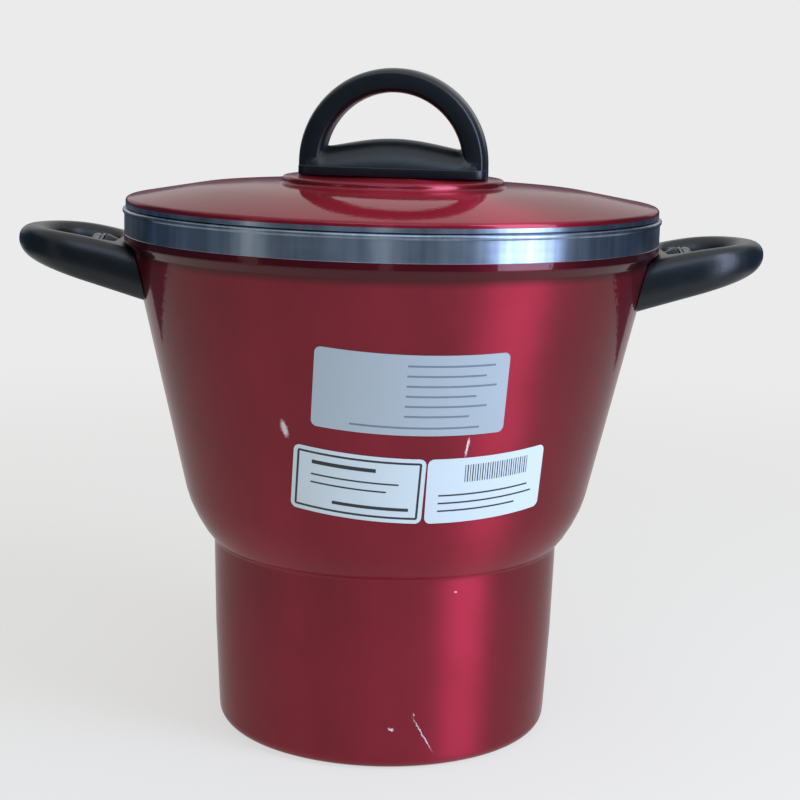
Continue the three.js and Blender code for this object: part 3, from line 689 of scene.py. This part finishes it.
def handleFixings(side, half):
    washerNear = handle["seatLength"] + fixing["gap"]
    washerFar = washerNear + fixing["washer"]
    screw = slottedScrew(fixing["screwRadius"], fixing["screwHead"], fixing["grip"],
                         washerFar + fixing["gap"], fixing["headHeight"])
    washer = ring(fixing["screwRadius"] + fixing["gap"], fixing["washerRadius"], washerNear, washerFar)
    for name, bm in (("screw_", screw), ("washer_", washer)):
        finishPiece(turn(alongPost(bm), half, "Z"), name + side, "pot", [zincPlate],
                    ["handle_" + name + side])
    rivetAngle = math.degrees(math.asin(fixing["rivetSpread"] / coneAt(bracketHeight)))
    for i, angle in enumerate((-rivetAngle, rivetAngle)):
        rivet = turn(turned(rivetLine(), fixing["steps"]), 90 + math.degrees(conePitch), "Y")
        shift(rivet, coneAt(bracketHeight), 0, bracketHeight)
        name = f"rivet_{side}_{i + 1}"
        finishPiece(turn(rivet, half + angle, "Z"), name, "pot", [insideMetal],
                    ["handle_" + name])


def knobFixings():
    washerTop = plateauTop - lid["sheet"] - fixing["gap"]
    washerFoot = washerTop - fixing["washer"]
    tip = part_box("knob_screw")[1].z / mm
    screw = slottedScrew(fixing["knobScrewRadius"], fixing["knobScrewHead"], -tip,
                         fixing["gap"] - washerFoot, fixing["knobHeadHeight"])
    finishPiece(turn(turn(screw, 180, "X"), lid["turn"], "Z"), "lid_screw", "lid", [zincPlate],
                ["knob_screw"])
    washer = ring(lid["holeRadius"], fixing["knobWasherRadius"], washerFoot, washerTop)
    finishPiece(washer, "lid_washer", "lid", [zincPlate], ["knob_washer"])


handleFixings("right", 0)
handleFixings("left", 180)
knobFixings()

# Steam tray and its wire pull

tray = dict(sheet=1.2, rimBend=2, rimEdge=0.2, steps=120, holeRadius=2.2, holePitch=11.5, holesEachRing=6,
            margin=6, drillDepth=8, drillSides=20, pullWire=1.5, pullSides=20, pullSteps=40, pullSpan=26,
            pullHole=1.8, pullHead=3, pullHeadHeight=1.2, pullHeadBend=0.4, gap=0.3)
trayLow, trayHigh = (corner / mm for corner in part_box("steam_tray"))


def holeSpots():  # the two holes of the pull, then rings of perforations
    spots = [(side * tray["pullSpan"] / 2, 0, tray["pullHole"]) for side in (-1, 1)]
    ringRadius, count = tray["holePitch"], tray["holesEachRing"]
    while ringRadius < trayHigh.x - tray["sheet"] - tray["margin"]:
        for i in range(count):
            angle = 2 * math.pi * (i + 0.5) / count
            spots.append((ringRadius * math.cos(angle), ringRadius * math.sin(angle), tray["holeRadius"]))
        ringRadius += tray["holePitch"]
        count += tray["holesEachRing"]
    return spots


def steamTray():
    radius, foot, top = trayHigh.x, trayLow.z, trayHigh.z
    inner, under = radius - tray["sheet"], top - tray["sheet"]
    outside = [(radius, foot, tray["rimEdge"]), (radius, top, tray["rimBend"]), (0, top, 0)]
    inside = [(0, under, 0), (inner, under, tray["rimBend"] - tray["sheet"]), (inner, foot, tray["rimEdge"])]
    bm = turned(inside + outside, tray["steps"])
    drills = bmesh.new()
    for x, y, size in holeSpots():
        bmesh.ops.create_cone(drills, cap_ends=True, segments=tray["drillSides"], radius1=size * mm,
                              radius2=size * mm, depth=tray["drillDepth"] * mm,
                              matrix=Matrix.Translation(Vector((x, y, top)) * mm))
    bm = combine(bm, drills, "DIFFERENCE")
    finishPiece(bm, "tray_disc", "tray", [insideMetal], ["steam_tray"])


def trayPull():
    half = tray["pullSpan"] / 2
    foot = trayHigh.z - tray["sheet"] - tray["gap"]
    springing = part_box("tray_pull")[1].z / mm - tray["pullWire"] - half
    bm = bmesh.new()
    bmesh.ops.create_circle(bm, segments=tray["pullSides"], radius=tray["pullWire"] * mm,
                            matrix=Matrix.Translation(Vector((half, 0, foot)) * mm))
    staple(bm, springing - foot, tray["pullSteps"])
    for side in (-half, half):
        head = rod(tray["pullHead"], foot - tray["pullHeadHeight"], foot, tray["pullHeadBend"])
        bm = combine(bm, shift(head, x=side), "UNION")
    finishPiece(bm, "tray_wire", "tray", [zincPlate], ["tray_pull"])


steamTray()
trayPull()

# Stickers on the front of the cone, printed with plain rules and bars

stickers = dict(thickness=0.12, standOff=0.06, ink=0.02, corner=2.2, cornerStep=15, slice=1.5, sharp=60,
                barLeast=0.3, barMore=0.15)


def rollOn(bm, azimuth, middle, tilt, thickness, standOff):  # thickens a flat sheet and rolls it on the cone
    turn(bm, tilt, "Z")
    for axis in (0, 1):
        reach = max(abs(vert.co[axis]) for vert in bm.verts) / mm
        sliceUp(bm, -reach, reach, stickers["slice"], axis)
    for face in bm.faces:
        face.normal_update()
        if face.normal.z < 0:
            face.normal_flip()
    bmesh.ops.solidify(bm, geom=bm.faces[:], thickness=thickness * mm)
    lowest = min(vert.co.z for vert in bm.verts)
    apex = coneAt(middle) / math.sin(conePitch)
    for vert in bm.verts:
        u, v = vert.co.x / mm, vert.co.y / mm + apex
        out = (vert.co.z - lowest) / mm + standOff
        slant = math.hypot(u, v)
        angle = math.atan2(u, v) / math.sin(conePitch) + math.radians(azimuth)
        radius = slant * math.sin(conePitch) + out * math.cos(conePitch)
        height = middle + (slant - apex) * math.cos(conePitch) - out * math.sin(conePitch)
        vert.co = Vector((radius * math.sin(angle), -radius * math.cos(angle), height)) * mm
    bmesh.ops.recalc_face_normals(bm, faces=bm.faces)
    return bm


def sticker(name, size, place, film, ink, marks, border=None):  # place is azimuth, height and tilt
    width, height = size
    bm, verts = rectangle(-width / 2, width / 2, -height / 2, height / 2)
    for vert in verts:
        roundCorner(bm, vert, stickers["corner"], stickers["cornerStep"])
    bmesh.ops.edgeloop_fill(bm, edges=bm.edges[:])
    if border:
        inset, line = border
        bmesh.ops.inset_region(bm, faces=bm.faces[:], thickness=inset * mm, use_boundary=True)
        panel = max(bm.faces, key=lambda face: face.calc_area())
        frameLine = bmesh.ops.inset_region(bm, faces=[panel], thickness=line * mm, use_boundary=True)
        for face in frameLine["faces"]:
            face.material_index = 1
    rollOn(bm, *place, stickers["thickness"], stickers["standOff"])
    finishPiece(bm, name, "pot", [film, ink] if border else [film], sharp=stickers["sharp"])
    bm = bmesh.new()
    for x, y, wide, tall in marks:
        spot = Matrix.Translation(Vector((x, y, 0)) * mm) @ Matrix.Diagonal((wide, tall, 1, 1))
        bmesh.ops.create_grid(bm, x_segments=1, y_segments=1, size=0.5 * mm, matrix=spot)
    rollOn(bm, *place, stickers["ink"], stickers["standOff"] + stickers["thickness"])
    finishPiece(bm, name + "_print", "pot", [ink], sharp=stickers["sharp"])


def rules(left, top, lengths, pitch, tall):  # a block of ruled lines
    return [(left + length / 2, top - i * pitch, length, tall) for i, length in enumerate(lengths)]


def bars(left, middle, count, pitch, tall):  # upright bars of two widths in turn
    shares = [stickers["barLeast"] + stickers["barMore"] * (i * i % 4) for i in range(count)]
    return [(left + i * pitch, middle, pitch * share, tall) for i, share in enumerate(shares)]


sticker("sticker_silver", (66.3, 28.8), (5.1, 140.4, -1.6), silverFoil, greyInk,
        rules(-2, 10.5, (30, 27, 31, 24, 28, 22), 3.6, 0.7) + rules(-20, -11.6, (44,), 1, 0.7))
sticker("sticker_framed", (45.5, 24), (-7.2, 107.4, -5.1), whiteFilm, darkInk,
        rules(-16, 6.8, (22,), 1, 1.4) + rules(-16, 2.2, (30, 26), 3, 0.6) + rules(-8, -7, (26,), 1, 1.2),
        border=(1.4, 0.8))
sticker("sticker_plain", (44.6, 24), (25.9, 106.8, 3.6), whiteFilm, darkInk,
        bars(-9, 6.2, 27, 0.92, 6.4) + rules(-18, -1.6, (34, 36, 29), 2.9, 0.6))

# The pieces that stay as the frame has them

for name, finish in (("handle_bracket_left", zincPlate), ("handle_bracket_right", zincPlate),
                     ("knob_insert", turnedBrass)):
    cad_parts[name].data.materials.clear()
    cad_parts[name].data.materials.append(finish)

# Camera, floor and light

view = dict(place=(0, -668.73, 246.35), pitch=0.18245, yaw=0.00667, roll=0.02457, lens=80.98, sensor=36,
            clipStart=0.01)
stage = dict(pale="#ebebeb", matte="#ebe7d9", room="#b8b8b8", glow=0.7, poolNear=0.25, poolFar=0.9,
             floorRadius=8, floorSides=96, flagShade="#3f536b", flagFar=1300, flagLift=2, flagSteps=24)
flags = (dict(name="flagFarLeft", start=-135, sweep=73, near=520, top=1000),
         dict(name="flagLeft", start=-54, sweep=49, near=520, top=1000),
         dict(name="flagFront", start=0, sweep=45, near=520, top=1000),
         dict(name="flagRight", start=66, sweep=74, near=520, top=1000),
         dict(name="flagRear", start=140, sweep=85, near=1250, top=300))
lamps = (dict(name="window", place=around(54, 0.8, 0.45), target=(0, 0, 0.12), wide=0.42, tall=1.0, power=11,
              colour="#c9d9ff"),
         dict(name="softbox", place=around(-4, 1.0, 1.1), target=(0, 0, 0.18), wide=1.0, tall=0.5, power=4.5,
              colour="#c6deff"),
         dict(name="overhead", place=(0, -0.1, 1.3), target=(0, 0, 0.1), wide=1.2, tall=1.2, power=2,
              colour="#ffffff"))


def addCamera():
    pitch, yaw, roll = view["pitch"], view["yaw"], view["roll"]
    ahead = Vector((math.sin(yaw) * math.cos(pitch), math.cos(yaw) * math.cos(pitch), -math.sin(pitch)))
    level = Vector((math.cos(yaw), -math.sin(yaw), 0))
    upright = level.cross(ahead)
    across = math.cos(roll) * level + math.sin(roll) * upright
    above = -math.sin(roll) * level + math.cos(roll) * upright
    data = bpy.data.cameras.new("camera")
    data.lens = view["lens"]
    data.sensor_width = view["sensor"]
    data.clip_start = view["clipStart"]
    camera = newObject("camera", data)
    camera.matrix_world = Matrix((across, above, -ahead)).transposed().to_4x4()
    camera.location = Vector(view["place"]) * mm
    scene.camera = camera


def addLamp(lamp):
    data = bpy.data.lights.new(lamp["name"], "AREA")
    data.shape = "RECTANGLE"
    data.size = lamp["wide"]
    data.size_y = lamp["tall"]
    data.energy = lamp["power"]
    data.color = linear(lamp["colour"])[:3]
    item = newObject(lamp["name"], data)
    item.location = lamp["place"]
    toTarget = Vector(lamp["target"]) - Vector(lamp["place"])
    item.rotation_euler = toTarget.to_track_quat("-Z", "Y").to_euler()


def showsTo(tree):  # 1 for rays that show the background: straight, mirrored or seen through glass
    path = addNode(tree, "ShaderNodeLightPath").outputs
    seen = path["Is Camera Ray"]
    for ray in ("Is Glossy Ray", "Is Transmission Ray"):
        seen = addNode(tree, "ShaderNodeMath", {0: seen, 1: path[ray]}, operation="MAXIMUM").outputs[0]
    return seen


def addFloor():  # it glows more with distance, so that no horizon shows
    bm = bmesh.new()
    bmesh.ops.create_circle(bm, cap_ends=True, segments=stage["floorSides"], radius=stage["floorRadius"])
    floor = newObject("floor", meshOf(bm, "floor"))
    material, tree, _ = newMaterial("paleFloor")
    place = addNode(tree, "ShaderNodeTexCoord").outputs["Object"]
    away = addNode(tree, "ShaderNodeVectorMath", {0: place}, operation="LENGTH").outputs["Value"]
    fade = addNode(tree, "ShaderNodeMapRange",
                   {"Value": away, "From Min": stage["poolNear"], "From Max": stage["poolFar"],
                    "To Min": stage["glow"], "To Max": 1}, interpolation_type="SMOOTHSTEP")
    share = addNode(tree, "ShaderNodeMath", {0: showsTo(tree), 1: fade.outputs["Result"]},
                    operation="MULTIPLY")
    glow = addNode(tree, "ShaderNodeEmission", {"Color": linear(stage["pale"])})
    matte = addNode(tree, "ShaderNodeBsdfDiffuse", {"Color": linear(stage["matte"])})  # warm for cool lamps
    blend = addNode(tree, "ShaderNodeMixShader",
                    {0: share.outputs[0], 1: matte.outputs[0], 2: glow.outputs[0]})
    setInputs(tree, tree.nodes["Material Output"], {"Surface": blend.outputs[0]})
    floor.data.materials.append(material)


def addWorld():
    world = bpy.data.worlds.new("studio")
    world.use_nodes = True
    scene.world = world
    tree = world.node_tree
    room = tree.nodes["Background"]
    setInputs(tree, room, {"Color": linear(stage["room"])})
    pale = addNode(tree, "ShaderNodeBackground", {"Color": linear(stage["pale"])})
    blend = addNode(tree, "ShaderNodeMixShader", {0: showsTo(tree), 1: room.outputs[0], 2: pale.outputs[0]})
    setInputs(tree, tree.nodes["World Output"], {"Surface": blend.outputs[0]})


def addFlag(flag):  # a dim card that only mirrored rays meet: a strip of floor, then a wall
    low, far = stage["flagLift"], stage["flagFar"]
    bm, _ = wire([(flag["near"], 0, low), (far, 0, low), (far, 0, flag["top"])])
    turn(bm, flag["start"] - 90, "Z")
    bmesh.ops.spin(bm, geom=bm.verts[:] + bm.edges[:], cent=(0, 0, 0), axis=(0, 0, 1),
                   angle=math.radians(flag["sweep"]), steps=stage["flagSteps"])
    card = newObject(flag["name"], meshOf(bm, flag["name"]))
    material, tree, _ = newMaterial(flag["name"])
    shade = addNode(tree, "ShaderNodeEmission", {"Color": linear(stage["flagShade"])})
    setInputs(tree, tree.nodes["Material Output"], {"Surface": shade.outputs[0]})
    card.data.materials.append(material)
    card.visible_camera = False
    card.visible_diffuse = False
    card.visible_shadow = False


addCamera()
addFloor()
addWorld()
for flag in flags:
    addFlag(flag)
for lamp in lamps:
    addLamp(lamp)
scene.view_settings.view_transform = "Standard"
print("camera, floor and light placed")
